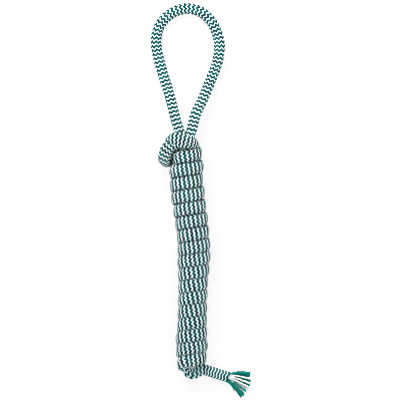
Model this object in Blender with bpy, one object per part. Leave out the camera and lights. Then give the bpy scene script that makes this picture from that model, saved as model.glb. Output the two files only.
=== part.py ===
"""Rope tug toy, made of one length of braided rope.

The rope is doubled into a hand loop, wound round the loop's own two legs into a grip, hitched at the top and let
out at the foot as a short tail with an unravelled end. The toy lies on the floor along +Y, hand loop first, with
+Z up. The origin is in the flat rest face under the grip's middle turn.
"""

import math

import bmesh
import bpy
import numpy as np

# Rope and fit, in metres
ROPE_DIAMETER = 0.0120
TOUCH_GAP = 0.0003
FLOOR_CUT_SHARE = 0.1
ROPE_SIDES_RESOLUTION = 2
PRESSED_SIDES = 8
SECTION_POWER = 2.6
CUTTER_OVERRUN = 0.0100

# Grip winding: the rope pressed flat, side by side in one layer
TURNS = 16
POINTS_PER_TURN = 24
PRESSED_WIDTH = 0.01375
PRESSED_THICKNESS = 0.0092
PRESSED_FLAT_SHARE = 0.6
PRESSED_EDGE_SHARE = 0.35
TURN_GAP = 0.00095
START_TURN = -0.5
START_RUN = 0.0035
END_RUN = 0.0120
RUN_RISE_SHARE = 0.185
BOW_MIDDLE = 0.0005
BOW_TOP = 0.0095
BOW_TOP_LENGTH = 0.0940
BOW_FOOT = 0.0037
BOW_FOOT_POWER = 0.8
SWELL = 0.0027
GAP_SAMPLES = 20

# Core: the two legs of the hand loop, pressed into half rounds
CORE_RADIUS = 0.00750
CORE_CLEARANCE = 0.0005
CORE_OVERHANG = 0.0014
CORE_STATIONS = 12
STRAND_SIDES = 12
LEG_END_Y = 0.1395
LEG_SPREAD = 0.0141
LEG_SIDESTEP = 0.0010
ROUNDING_POWER = 1.5

# Hand loop
NECK_LENGTH = 0.0165
LOOP_LENGTH = 0.1404
LOOP_WIDTH = 0.0726
LOOP_LEAN = 0.0022
LOOP_POINTS = 34
LOOP_FINE_POINTS = 600
NECK_POINTS = 5
SLOPE_LENGTH = 0.0800

# Tail and tassel
TAIL_ANGLE = math.radians(-17.8)
TAIL_NECK_LENGTH = 0.0090
SHEATH_LENGTH = 0.0173
SHEATH_BORE = 0.0080
TASSEL_ROOT_LENGTH = 0.0070
TASSEL_ROOT_WIDTH = 0.0128
TASSEL_ROOT_THICKNESS = 0.0088
YARN_LAYER_STEP = 0.0038
YARN_THICKNESS = 0.0030
YARN_GAP = 0.0004
FLOOR_CLEARANCE = 0.0004

# The loop's left half, from the hitch to the crown: shares of its half width and of its length
LOOP_LEFT_SHARES = (
    (-0.405, 0.127),
    (-0.52, 0.250),
    (-0.71, 0.415),
    (-0.90, 0.580),
    (-0.985, 0.745),
    (-0.93, 0.826),
    (-0.745, 0.908),
    (-0.40, 0.975),
)
LOOP_CROWN_SHARE = (-0.01, 1.0)
LOOP_RIGHT_SHARES = (
    (0.39, 0.977),
    (0.72, 0.908),
    (0.90, 0.826),
    (1.00, 0.745),
    (0.97, 0.580),
    (0.74, 0.415),
    (0.475, 0.250),
    (0.255, 0.127),
)

# How far each turn, from the foot to the top, swells to the sides: shares of the full swell
TURN_SWELL_SHARES = (
    0.2, 0.7, 0.1, 0.0, 0.0, 0.0, 0.1, 0.6, 0.75, 0.7, 0.75, 0.85, 0.95, 1.0, 0.9, 0.1, 0.0
)

# Rope routes at the hitch and the foot: shares of the rope's diameter from the end of the grip's axis
TUCK_ROUTE_SHARES = (
    (-1.55, 0.15, -1.02),
    (-1.88, -0.30, -0.95),
    (-2.08, -0.78, -0.82),
    (-2.24, -1.14, -0.48),
    (-2.28, -1.20, -0.07),
    (-2.19, -0.95, 0.33),
    (-2.03, -0.57, 0.56),
    (-1.77, -0.16, 0.67),
    (-1.43, 0.12, 0.74),
    (-1.22, 0.27, 0.75),
)
TUCK_WIDTH_DIRECTIONS = ((0.18, 1.0, 0.0), (-0.55, 0.8, 0.0), (-0.77, 0.64, 0.0), (-0.72, 0.70, 0.0))
HITCH_ROUTE_SHARES = (
    (0.83, 1.26, -0.93),
    (0.13, 1.28, -0.95),
    (-0.71, 1.24, -0.95),
    (-1.38, 1.10, -0.80),
    (-1.77, 0.95, -0.36),
    (-1.86, 0.86, 0.14),
    (-1.66, 0.86, 0.66),
    (-1.22, 0.95, 1.01),
    (-0.63, 0.90, 1.13),
    (0.0, 0.76, 1.11),
    (0.50, 0.64, 0.91),
    (0.86, 0.52, 0.54),
    (1.01, 0.47, 0.08),
)
HITCH_WIDTHS = (0.0140, 0.0140, 0.0140, 0.0130, 0.0120, 0.0180, 0.0190, 0.0130)
HITCH_WIDTH_DIRECTIONS = ((0.0, 1.0, 0.0), (0.0, 1.0, 0.0), (0.12, 1.0, 0.0), (0.35, 1.0, 0.0))
FOOT_ROUTE_SHARES = ((-0.52, -0.62, 0.06), (-0.85, -0.79, 0.30), (-0.93, -0.77, 0.68), (-0.70, -0.76, 0.97))
FOOT_WIDTH_DIRECTIONS = ((0.0, 0.0, 1.0), (0.1, 0.5, 0.8), (0.0, 1.0, 0.3), (0.0, 1.0, 0.0))
CURL_ROUTE_SHARES = (
    (0.10, -0.58, -0.30),
    (-0.20, -0.95, -0.60),
    (-0.36, -1.36, -0.72),
    (-0.20, -1.73, -0.75),
    (0.22, -1.81, -0.75),
    (0.76, -1.58, -0.80),
)
CURL_END_SHARE = (1.41, -1.53)
CURL_WIDTH_DIRECTIONS = ((0.0, 0.0, 1.0), (0.0, 0.0, 1.0))
BEND_STATIONS = 26
LEAD = 0.0025
FOOT_LEAD = 0.0012
END_STEP = 0.0004
TURN_EASING_ROUNDS = 50

# Tassel: bundles of yarn side by side in two layers, each with its colour and its share of the fan's length
FAN_LENGTH = 0.0262
FAN_HALF_WIDTH = 0.0140
FAN_CENTRE_SHARE = -0.18
YARN_COLOURS = "teal teal white teal white teal white white teal white teal teal".split()
YARN_LENGTH_SHARES = (0.86, 0.86, 0.94, 0.97, 1.0, 1.0, 1.0, 0.96, 0.92, 0.89, 0.88, 0.80)
YARN_LAYERS = 2
STUB_LENGTH_SHARE = 0.42
STUB_SIDE_SHARE = -0.90
STUB_ROOT_SHARE = -0.57
YARN_SIDES = 6
YARN_STATIONS = 5
YARN_ROOT_SHARE = 0.48

PITCH = PRESSED_WIDTH + TURN_GAP
HALF_GRIP = TURNS * PITCH / 2
TURN_RADIUS = CORE_RADIUS + CORE_CLEARANCE + PRESSED_THICKNESS / 2
FLOOR_CUT = FLOOR_CUT_SHARE * ROPE_DIAMETER
AXIS_Z = TURN_RADIUS + PRESSED_THICKNESS / 2 - FLOOR_CUT
ROPE_REST_Z = ROPE_DIAMETER / 2 - FLOOR_CUT
LEG_START_Y = HALF_GRIP + CORE_OVERHANG


def clear_scene():
    for obj in list(bpy.data.objects):
        bpy.data.objects.remove(obj, do_unlink=True)


def new_collection(name):
    collection = bpy.data.collections.new(name)
    bpy.context.scene.collection.children.link(collection)
    return collection


def linear(hex_colour):
    """The linear RGBA of an sRGB hex colour."""
    channels = [int(hex_colour[i : i + 2], 16) / 255 for i in (0, 2, 4)]
    return [c / 12.92 if c <= 0.04045 else ((c + 0.055) / 1.055) ** 2.4 for c in channels] + [1.0]


def rope_material(name, hex_colour, roughness=0.9):
    material = bpy.data.materials.new(name)
    material.use_nodes = True
    shader = material.node_tree.nodes["Principled BSDF"]
    shader.inputs["Base Color"].default_value = linear(hex_colour)
    shader.inputs["Roughness"].default_value = roughness
    shader.inputs["Metallic"].default_value = 0.0
    return material


def unit(vector):
    return vector / np.linalg.norm(vector)


def axis_x(y):
    """How far the grip's bowed axis stands to the side at y: it leans over above the middle, and a little below."""
    if y < 0:
        return -BOW_MIDDLE - (BOW_FOOT - BOW_MIDDLE) * (-y / HALF_GRIP) ** BOW_FOOT_POWER
    rise = min(y / BOW_TOP_LENGTH, 1.0)
    return -BOW_MIDDLE - (BOW_TOP - BOW_MIDDLE) * rise**2 * (3 - 2 * rise)


def smooth_route(points, shares):
    """Points on a smooth curve through the given ones, at shares of its length."""
    points = np.array(points, float)
    steps = np.linalg.norm(np.diff(points, axis=0), axis=1)
    knots = np.concatenate([[0], np.cumsum(steps)])
    slopes = np.gradient(points, knots, axis=0)
    fine = np.linspace(0, knots[-1], 40 * len(points))
    index = np.clip(np.searchsorted(knots, fine, side="right") - 1, 0, len(steps) - 1)
    span = steps[index][:, None]
    t = ((fine - knots[index]) / steps[index])[:, None]
    start, end = points[index], points[index + 1]
    curve = (
        (2 * t**3 - 3 * t**2 + 1) * start
        + (t**3 - 2 * t**2 + t) * span * slopes[index]
        + (3 * t**2 - 2 * t**3) * end
        + (t**3 - t**2) * span * slopes[index + 1]
    )
    length = np.concatenate([[0], np.cumsum(np.linalg.norm(np.diff(curve, axis=0), axis=1))])
    wanted = np.array(shares) * length[-1]
    return np.stack([np.interp(wanted, length, curve[:, i]) for i in range(3)], axis=1)


def from_datum(shares, datum):
    return [np.array(datum) + ROPE_DIAMETER * np.array(share) for share in shares]


def spread_over(values, count):
    """The given rows, spread evenly over count rows."""
    values = np.array(values, float)
    places = np.linspace(0, len(values) - 1, count)
    return np.stack([np.interp(places, range(len(values)), column) for column in values.T], axis=1)


def finish_object(obj, collection, material):
    for old in list(obj.users_collection):
        old.objects.unlink(obj)
    collection.objects.link(obj)
    if obj.type == "MESH":
        obj.data.materials.clear()
        obj.data.materials.append(material)
        obj.data.shade_smooth()
        obj.data.set_sharp_from_angle(angle=math.radians(50))
    return obj


def loft(name, rings, collection, material):
    """A closed solid through rings of equally many points."""
    built = bmesh.new()
    rows = [[built.verts.new(point) for point in ring] for ring in rings]
    sides = len(rows[0])
    for lower, upper in zip(rows, rows[1:]):
        for i in range(sides):
            j = (i + 1) % sides
            built.faces.new((lower[i], lower[j], upper[j], upper[i]))
    built.faces.new(rows[0][::-1])
    built.faces.new(rows[-1])
    bmesh.ops.recalc_face_normals(built, faces=built.faces)
    mesh = bpy.data.meshes.new(name)
    built.to_mesh(mesh)
    built.free()
    return finish_object(bpy.data.objects.new(name, mesh), collection, material)


def headings_along(route, easing_rounds):
    """A route's headings, their turns spread along it so that the sections of a tight bend don't cross."""
    headings = np.array([unit(step) for step in np.gradient(route, axis=0)])
    if easing_rounds:
        headings[1], headings[-2] = headings[0], headings[-1]
    for _ in range(easing_rounds):
        inner = headings[1:-3] + 2 * headings[2:-2] + headings[3:-1]
        headings[2:-2] = inner / np.linalg.norm(inner, axis=1)[:, None]
    return headings


def rings_along(route, width_directions, sections, easing_rounds=0):
    """Sections of points (across, up), set square to a route with their widths along the given directions."""
    rings = []
    places = zip(route, headings_along(route, easing_rounds), width_directions, sections)
    for point, tangent, direction, section in places:
        across = unit(direction - np.dot(direction, tangent) * tangent)
        up = np.cross(tangent, across)
        rings.append([point + u * across + v * up for u, v in section])
    return rings


def oval(width, thickness, sides, grow=0.0):
    """A pressed rope's section, a little squarer than an ellipse."""
    angles = (np.arange(sides) + 0.5) * 2 * math.pi / sides
    u = np.cos(angles)
    v = np.sin(angles)
    squareness = (abs(u) ** SECTION_POWER + abs(v) ** SECTION_POWER) ** (-1 / SECTION_POWER)
    return np.stack([(width / 2 + grow) * u * squareness, (thickness / 2 + grow) * v * squareness], axis=1)


def curve_tube(name, points, radius, collection, profile=None):
    """A tube along points, as a mesh: round, or with a profile curve as its section."""
    data = bpy.data.curves.new(name, "CURVE")
    data.dimensions = "3D"
    data.twist_mode = "Z_UP"
    data.use_fill_caps = True
    if profile is None:
        data.bevel_depth = radius
        data.bevel_resolution = ROPE_SIDES_RESOLUTION
    else:
        data.bevel_mode = "OBJECT"
        data.bevel_object = profile
    spline = data.splines.new("POLY")
    spline.points.add(len(points) - 1)
    for place, point in zip(spline.points, points):
        place.co = (*point, 1.0)
    guide = bpy.data.objects.new(name + "_curve", data)
    collection.objects.link(guide)
    bpy.context.view_layer.update()
    mesh = bpy.data.meshes.new_from_object(guide.evaluated_get(bpy.context.evaluated_depsgraph_get()))
    mesh.name = name
    bpy.data.objects.remove(guide, do_unlink=True)
    built = bmesh.new()
    built.from_mesh(mesh)
    bmesh.ops.remove_doubles(built, verts=built.verts, dist=TOUCH_GAP / 10)
    bmesh.ops.recalc_face_normals(built, faces=built.faces)
    built.to_mesh(mesh)
    built.free()
    return bpy.data.objects.new(name, mesh)


def cut(obj, cutter, solver="EXACT"):
    boolean = obj.modifiers.new("cut_by_" + cutter.name, "BOOLEAN")
    boolean.operation = "DIFFERENCE"
    boolean.solver = solver
    boolean.object = cutter


def as_cutter(obj, cutters):
    if obj.name not in cutters.objects:
        cutters.objects.link(obj)
    obj.hide_render = True
    obj.display_type = "WIRE"
    return obj


def floor_cutter(cutters):
    """A slab under the floor: what rests there is cut flat by it."""
    bpy.ops.mesh.primitive_cube_add(size=1.0)
    slab = bpy.context.object
    slab.name = "floor_cutter"
    length = 4 * HALF_GRIP
    slab.scale = (length, 2 * length, CUTTER_OVERRUN)
    slab.location = (0.0, 0.0, -CUTTER_OVERRUN / 2)
    for collection in list(slab.users_collection):
        collection.objects.unlink(slab)
    return as_cutter(slab, cutters)


def winding_points(first_turn, last_turn, start_run=0.0, end_run=0.0):
    """The turns' centre line, with a straight run at either end. At a whole turn the rope is under the axis."""
    count = round((last_turn - first_turn) * POINTS_PER_TURN)
    share_turns = np.linspace(0, TURNS, len(TURN_SWELL_SHARES))
    points = []
    for turn in np.linspace(first_turn, last_turn, count + 1):
        y = (turn - TURNS / 2) * PITCH
        angle = 2 * math.pi * turn
        swell = SWELL * np.interp(turn, share_turns, TURN_SWELL_SHARES)
        side = -(TURN_RADIUS + swell) * math.sin(angle)
        rise = -TURN_RADIUS * math.cos(angle)
        points.append(np.array((axis_x(y) + side, y, AXIS_Z + rise)))
    heading = unit(np.array((1.0, RUN_RISE_SHARE, 0.0)))
    if start_run:
        points.insert(0, points[0] - start_run * heading)
    if end_run:
        points.append(points[-1] + end_run * heading * (-1, 1, 1))
    return points


def least_gap_of_winding():
    """The least gap between neighbouring turns, measured between points on their facing edges."""
    centres = np.array(winding_points(0, TURNS))
    headings = headings_along(centres, 0)
    outward = centres - np.array([(axis_x(y), y, AXIS_Z) for y in centres[:, 1]])
    sideways = np.cross(headings, outward)
    sideways *= np.sign(sideways[:, 1:2]) / np.linalg.norm(sideways, axis=1)[:, None]
    places = np.linspace(0, len(centres) - 1, GAP_SAMPLES * len(centres))
    edges = []
    for side in (-1, 1):
        edge = centres + side * PRESSED_WIDTH / 2 * sideways
        edges.append(np.stack([np.interp(places, range(len(edge)), column) for column in edge.T], axis=1))
    lower, upper = edges
    return min(np.linalg.norm(lower - point, axis=1).min() for point in upper)


def pressed_profile(cutters, grow=0.0):
    """The pressed rope's section as a closed curve: across is radial, up is along the grip's axis."""
    data = bpy.data.curves.new("pressed_profile", "CURVE")
    data.dimensions = "2D"
    spline = data.splines.new("POLY")
    half_width = PRESSED_WIDTH / 2 + grow
    half_thickness = PRESSED_THICKNESS / 2 + grow
    flat = PRESSED_FLAT_SHARE * half_width
    edge = PRESSED_EDGE_SHARE * half_thickness
    corners = (
        (edge, half_width),
        (-half_thickness, flat),
        (-half_thickness, -flat),
        (edge, -half_width),
        (half_thickness, -flat),
        (half_thickness, flat),
    )
    spline.points.add(len(corners) - 1)
    for place, corner in zip(spline.points, corners):
        place.co = (*corner, 0.0, 1.0)
    spline.use_cyclic_u = True
    profile = bpy.data.objects.new("pressed_profile", data)
    return as_cutter(profile, cutters)


def pressed_tube(name, points, cutters, grow=0.0):
    """A winding is built upright, so that its sections keep their width along the axis, and then laid along +Y."""
    upright = [(x, AXIS_Z - z, y) for x, y, z in points]
    tube = curve_tube(name, upright, 0.0, cutters, profile=pressed_profile(cutters, grow))
    for vertex in tube.data.vertices:
        x, back, height = vertex.co
        vertex.co = (x, height, AXIS_Z - back)
    return tube


def make_winding(parts, cutters, slab, material):
    winding = pressed_tube("grip_winding", winding_points(START_TURN, TURNS, START_RUN, END_RUN), cutters)
    finish_object(winding, parts, material)
    cut(winding, slab)
    top = pressed_tube("top_turn_cutter", winding_points(TURNS - 1, TURNS, 0.0, END_RUN), cutters, TOUCH_GAP)
    foot = pressed_tube("foot_turn_cutter", winding_points(START_TURN, 1, START_RUN, 0.0), cutters, TOUCH_GAP)
    return winding, as_cutter(top, cutters), as_cutter(foot, cutters)


def half_round(side, radius, gap):
    """A half disc's section beside the axis: side -1 is the left one."""
    angles = np.linspace(-math.pi / 2, math.pi / 2, STRAND_SIDES // 2 + 1)
    arc = [(side * (gap / 2 + (radius - gap / 2) * math.cos(a)), side * radius * math.sin(a)) for a in angles]
    flat = np.linspace(1, -1, STRAND_SIDES - len(arc) + 2)[1:-1]
    return np.array(arc + [(side * gap / 2, side * radius * share) for share in flat])


def round_section(side):
    angles = -math.pi / 2 + np.arange(STRAND_SIDES) * 2 * math.pi / STRAND_SIDES
    return side * ROPE_DIAMETER / 2 * np.stack([np.cos(angles), np.sin(angles)], axis=1)


def leg_centre(side):
    """Where a leg leaves the hitch, round again."""
    return np.array((axis_x(HALF_GRIP) - LEG_SIDESTEP + side * LEG_SPREAD / 2, LEG_END_Y, AXIS_Z))


def make_core_strand(name, side, parts, material, loop_heading):
    """One leg inside the grip: a half round along the bowed axis that turns round again through the hitch."""
    heights = np.linspace(-HALF_GRIP - CORE_OVERHANG, LEG_START_Y, CORE_STATIONS)
    straight = [np.array((axis_x(y), y, AXIS_Z)) for y in heights]
    start = straight[-1]
    end = leg_centre(side)
    reach = end[1] - start[1]
    shares = np.array((0.25, 0.5, 0.75))
    lag = reach * loop_heading[0] / loop_heading[1]
    bend = [start * (1 - s) + end * s - np.array((s * (1 - s) * lag, 0, 0)) for s in shares]
    last = end - TOUCH_GAP * loop_heading
    route = np.array(straight + bend + [last - LEAD * loop_heading, last])
    roundness = [0.0] * len(straight) + list(shares**ROUNDING_POWER) + [1.0, 1.0]
    flat = half_round(side, CORE_RADIUS, TOUCH_GAP)
    full = round_section(side)
    sections = [(1 - s) * flat + s * full for s in roundness]
    directions = np.tile((1.0, 0.0, 0.0), (len(route), 1))
    rings = rings_along(route, directions, sections)
    return loft(name, rings, parts, material)


def loop_route():
    """The hand loop's route from the left leg's end round to the right leg's, sloping down to the floor."""
    middle = leg_centre(-1)[0] / 2 + leg_centre(1)[0] / 2 + LOOP_LEAN
    left = [leg_centre(-1)]
    right = [leg_centre(1)]
    places = [*LOOP_LEFT_SHARES, LOOP_CROWN_SHARE, *LOOP_RIGHT_SHARES]
    route = []
    for across, along in places:
        y = LEG_END_Y + along * LOOP_LENGTH
        fall = min(max((y - LEG_END_Y) / SLOPE_LENGTH, 0.0), 1.0)
        z = AXIS_Z + (ROPE_REST_Z - AXIS_Z) * fall**2 * (3 - 2 * fall)
        route.append(np.array((middle + across * LOOP_WIDTH / 2, y, z)))
    return left + route + right


def make_hand_loop(parts, cutters, slab, materials):
    route = loop_route()
    fine = smooth_route(route, np.linspace(0, 1, LOOP_FINE_POINTS))
    length = np.linalg.norm(np.diff(fine, axis=0), axis=1).sum()
    neck = NECK_LENGTH / length
    gap = TOUCH_GAP / length
    lead = LEAD / length
    spans = {
        "neck_left": (0.0, neck, NECK_POINTS),
        "hand_loop": (neck + gap, 1 - neck - gap, LOOP_POINTS),
        "neck_right": (1 - neck, 1.0, NECK_POINTS),
    }
    for name, (begin, end, count) in spans.items():
        inner = np.linspace(begin, end, count)[1:-1]
        points = smooth_route(route, [begin, begin + lead, *inner, end - lead, end])
        tube = curve_tube(name, points, ROPE_DIAMETER / 2, cutters)
        finish_object(tube, parts, materials)
        if name == "hand_loop":
            cut(tube, slab)
    print("hand loop, with its necks: %.1f mm of rope" % (1000 * length))
    return unit(fine[1] - fine[0]), unit(fine[-1] - fine[-2])


def bent_rope(name, points, directions, sizes, collection, material, grow=0.0):
    """A short pressed rope: its width and thickness run evenly through the given sizes along the route."""
    first, last = np.array(points[:2]), np.array(points[-2:])
    inner = smooth_route(points, np.linspace(0, 1, BEND_STATIONS))[1:-1]
    straight_start = first[0] + END_STEP * unit(first[1] - first[0])
    straight_end = last[1] - END_STEP * unit(last[1] - last[0])
    route = np.array([first[0], straight_start, *inner, straight_end, last[1]])
    count = len(route)
    sections = [oval(w, t, PRESSED_SIDES, grow) for w, t in spread_over(sizes, count)]
    rings = rings_along(route, spread_over(directions, count), sections, TURN_EASING_ROUNDS)
    return loft(name, rings, collection, material)


def make_hitch(parts, cutters, slab, top_cutter, legs, material):
    datum = (axis_x(HALF_GRIP), HALF_GRIP, AXIS_Z)
    last, end = np.array(winding_points(TURNS - 1, TURNS, 0.0, END_RUN)[-2:])
    start = end + TOUCH_GAP * unit(end - last)
    pressed = (PRESSED_WIDTH, PRESSED_THICKNESS)
    tuck_route = [start, start + LEAD * unit(end - last), *from_datum(TUCK_ROUTE_SHARES, datum)]
    hitch_route = from_datum(HITCH_ROUTE_SHARES, datum)
    tuck = bent_rope("tuck_bight", tuck_route, TUCK_WIDTH_DIRECTIONS, (pressed, pressed), parts, material)
    hitch_sizes = [(width, PRESSED_THICKNESS) for width in HITCH_WIDTHS]
    hitch = bent_rope("hitch_turn", hitch_route, HITCH_WIDTH_DIRECTIONS, hitch_sizes, parts, material)
    hitch_cutter = bent_rope(
        "hitch_cutter", hitch_route, HITCH_WIDTH_DIRECTIONS, hitch_sizes, cutters, material, TOUCH_GAP
    )
    cut(tuck, as_cutter(hitch_cutter, cutters))
    for piece in (tuck, hitch):
        cut(piece, top_cutter, "MANIFOLD")
        cut(piece, slab)
        for leg in legs:
            cut(piece, leg)


def make_foot(parts, cutters, slab, foot_cutter, material):
    datum = (axis_x(-HALF_GRIP), -HALF_GRIP, AXIS_Z)
    strand_width = CORE_RADIUS - TOUCH_GAP
    top = -HALF_GRIP - CORE_OVERHANG - TOUCH_GAP
    left = np.array((datum[0] - CORE_RADIUS / 2, top, AXIS_Z))
    right = np.array((datum[0] + CORE_RADIUS / 2, top, AXIS_Z))
    first, second = np.array(winding_points(START_TURN, 0, START_RUN, 0.0)[:2])
    heading = unit(second - first)
    down = np.array((0.0, -1.0, 0.0))
    face = first - TOUCH_GAP * heading
    foot_route = [left, left + LEAD * down, *from_datum(FOOT_ROUTE_SHARES, datum), face - FOOT_LEAD * heading, face]
    strand = (ROPE_DIAMETER, strand_width)
    pressed = (PRESSED_WIDTH, PRESSED_THICKNESS)
    foot = bent_rope("foot_bight", foot_route, FOOT_WIDTH_DIRECTIONS, (strand, pressed, pressed), parts, material)
    tail_start = np.array((*(np.array(datum[:2]) + ROPE_DIAMETER * np.array(CURL_END_SHARE)), ROPE_REST_Z))
    along = np.array((math.cos(TAIL_ANGLE), math.sin(TAIL_ANGLE), 0.0))
    before_tail = tail_start - LEAD * along
    curl_route = [right, right + LEAD * down, *from_datum(CURL_ROUTE_SHARES, datum), before_tail, tail_start]
    rope = (ROPE_DIAMETER, ROPE_DIAMETER)
    curl_sizes = (strand, (ROPE_DIAMETER, strand_width), rope, rope)
    curl = bent_rope("tail_curl", curl_route, CURL_WIDTH_DIRECTIONS, curl_sizes, parts, material)
    curl_cutter = bent_rope(
        "curl_cutter", curl_route, CURL_WIDTH_DIRECTIONS, curl_sizes, cutters, material, TOUCH_GAP
    )
    cut(foot, as_cutter(curl_cutter, cutters))
    for piece in (foot, curl):
        cut(piece, foot_cutter, "MANIFOLD")
    cut(curl, slab)
    return tail_start


def make_tail(start, parts, cutters, slab, materials):
    """Tail bend, braided sheath, its filler and the tassel, one after the other along the tail's direction."""
    along = np.array((math.cos(TAIL_ANGLE), math.sin(TAIL_ANGLE), 0.0))
    across = np.array((-along[1], along[0], 0.0))
    neck_start = start + TOUCH_GAP * along
    neck_end = neck_start + TAIL_NECK_LENGTH * along
    sheath_start = neck_end + TOUCH_GAP * along
    sheath_end = sheath_start + SHEATH_LENGTH * along
    neck = curve_tube("tail_bend", [neck_start, neck_end], ROPE_DIAMETER / 2, cutters)
    sheath = curve_tube("tail_sheath", [sheath_start, sheath_end], ROPE_DIAMETER / 2, cutters)
    bore_start = sheath_start - CUTTER_OVERRUN * along
    bore_end = sheath_end + CUTTER_OVERRUN * along
    bore = curve_tube("sheath_bore_cutter", [bore_start, bore_end], SHEATH_BORE / 2, cutters)
    filler = curve_tube("tail_filler", [sheath_start, sheath_end], SHEATH_BORE / 2 - TOUCH_GAP, cutters)
    finish_object(neck, parts, materials["braid"])
    finish_object(sheath, parts, materials["braid"])
    finish_object(filler, parts, materials["filler"])
    cut(sheath, as_cutter(bore, cutters))
    cut(neck, slab)
    cut(sheath, slab)

    root_start = sheath_end + TOUCH_GAP * along
    root_end = root_start + TASSEL_ROOT_LENGTH * along
    root_route = np.linspace(root_start, root_end, 3)
    root_sizes = ((SHEATH_BORE, SHEATH_BORE), (TASSEL_ROOT_WIDTH, TASSEL_ROOT_THICKNESS))
    sections = [oval(w, t, PRESSED_SIDES) for w, t in spread_over(root_sizes, 3)]
    rings = rings_along(root_route, np.tile(across, (3, 1)), sections)
    loft("tassel_root", rings, parts, materials["filler"])
    make_yarn(root_end + TOUCH_GAP * along, along, across, parts, materials)


def make_yarn(root, along, across, parts, materials):
    """Bundles of yarn in two layers, fanning out from the root; each swells to its share of the fan."""
    names = {"teal": 0, "white": 0}
    count = len(YARN_COLOURS)
    sides = FAN_CENTRE_SHARE + np.linspace(1, -1, count)
    root_sides = YARN_ROOT_SHARE * np.linspace(1, -1, count)
    bundles = list(zip(YARN_COLOURS, YARN_LENGTH_SHARES, sides, root_sides, [1, 0] * (count // YARN_LAYERS)))
    bundles.append(("teal", STUB_LENGTH_SHARE, STUB_SIDE_SHARE, STUB_ROOT_SHARE, 1))
    room = YARN_LAYERS * 2 * FAN_HALF_WIDTH / count
    for colour, length_share, side, root_side, layer in bundles:
        names[colour] += 1
        first = root + root_side * FAN_HALF_WIDTH * across
        last = root + (length_share * FAN_LENGTH - TASSEL_ROOT_LENGTH) * along + side * FAN_HALF_WIDTH * across
        first[2] = last[2] = YARN_THICKNESS / 2 + FLOOR_CLEARANCE + layer * YARN_LAYER_STEP
        route = np.linspace(first, last, YARN_STATIONS)
        swell = np.linspace(YARN_ROOT_SHARE, 1.0, YARN_STATIONS)
        sections = [oval(share * room - YARN_GAP, YARN_THICKNESS, YARN_SIDES) for share in swell]
        rings = rings_along(route, np.tile(across, (YARN_STATIONS, 1)), sections)
        loft("yarn_%s_%d" % (colour, names[colour]), rings, parts, materials[colour])


def main():
    clear_scene()
    parts = new_collection("rope_tug_toy")
    cutters = new_collection("cutters")
    materials = {
        "braid": rope_material("braided_rope", "5FA39F"),
        "filler": rope_material("filler_yarn", "D5DEDC"),
        "teal": rope_material("teal_yarn", "0C8A82"),
        "white": rope_material("white_yarn", "D9E4E2"),
    }
    slab = floor_cutter(cutters)
    _, top_cutter, foot_cutter = make_winding(parts, cutters, slab, materials["braid"])
    left_heading, right_heading = make_hand_loop(parts, cutters, slab, materials["braid"])
    headings = {"left": (-1, left_heading), "right": (1, -right_heading)}
    legs = []
    for name, (side, heading) in headings.items():
        make_core_strand("core_strand_" + name, side, parts, materials["braid"], heading)
        end = leg_centre(side)
        below = end - heading * (LEG_END_Y - HALF_GRIP)
        guide = [below, end]
        leg = curve_tube("leg_cutter_" + name, guide, ROPE_DIAMETER / 2 + 2 * TOUCH_GAP, cutters)
        legs.append(as_cutter(leg, cutters))
    make_hitch(parts, cutters, slab, top_cutter, legs, materials["braid"])
    tail_start = make_foot(parts, cutters, slab, foot_cutter, materials["braid"])
    make_tail(tail_start, parts, cutters, slab, materials)
    print("grip winding: least gap to itself %.2f mm" % (1000 * least_gap_of_winding()))


main()
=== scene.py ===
"""The looks of the rope tug toy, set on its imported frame.

One length of 12 mm braided rope makes everything: two core strands inside the grip, the hand loop that they
end in, the winding round them, the hitch that locks it and the short tail with its unravelled yarn. The
sections follow the rope as it is laid. Lengths are in metres, +Y runs from the tail to the hand loop and +Z
is up.
"""

import math

import bpy
import numpy as np
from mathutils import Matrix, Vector


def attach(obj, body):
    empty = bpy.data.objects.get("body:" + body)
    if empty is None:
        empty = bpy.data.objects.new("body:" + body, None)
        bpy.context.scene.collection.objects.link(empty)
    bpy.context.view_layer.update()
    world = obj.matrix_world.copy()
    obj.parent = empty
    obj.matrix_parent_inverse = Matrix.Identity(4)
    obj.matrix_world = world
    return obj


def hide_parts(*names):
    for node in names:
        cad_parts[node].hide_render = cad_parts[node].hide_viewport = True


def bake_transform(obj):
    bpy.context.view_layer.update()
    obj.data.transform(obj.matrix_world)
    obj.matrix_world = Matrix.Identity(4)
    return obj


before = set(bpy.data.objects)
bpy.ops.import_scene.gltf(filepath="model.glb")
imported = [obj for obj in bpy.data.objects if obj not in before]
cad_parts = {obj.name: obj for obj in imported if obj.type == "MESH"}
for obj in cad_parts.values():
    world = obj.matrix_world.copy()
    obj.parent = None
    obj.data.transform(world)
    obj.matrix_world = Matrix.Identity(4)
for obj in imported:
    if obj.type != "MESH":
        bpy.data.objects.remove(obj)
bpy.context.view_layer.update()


# The rope: a hollow braid of 28 polyester yarns, teal and white by turns, over a soft filler. They go over
# two and under two, in 14 lanes of slanting stitches that line up as zigzag stripes round the rope. Where it
# is hauled tight and pressed, the yarns bundle up into narrower stitches, in 18 lanes, and their teal is
# drawn darker as painted shade.
ROPE_DIAMETER = 0.0120
LANES = 14
PRESSED_LANES = 18
YARN_SPACING = 0.00233
LANE_STEPS = 5
YARN_ROWS = 5
HIDDEN_LANE_STEPS = 3
PRESSED_LANE_STEPS = 4
PRESSED_YARN_ROWS = 4
STITCH_HEIGHT = 0.00042
STITCH_CROWN = 0.6
LANE_CROWN = 0.45
SOFT_SQUARENESS = 2.0
PRESSED_SQUARENESS = 2.7
PRESSED_RATIO = 1.5
TEALS = ("033B44", "05777A")
# painted shade: the pressed rope's darkest and lightest teal, drawn darker than the loose rope's
PRESSED_SHADED_TEALS = ("000C14", "026A6C")
# painted shade: the teal that the yarns darken to in the grooves between them
TEAL_IN_PAINTED_SHADE = "00080C"
WHITE = "EEFDFE"
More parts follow.
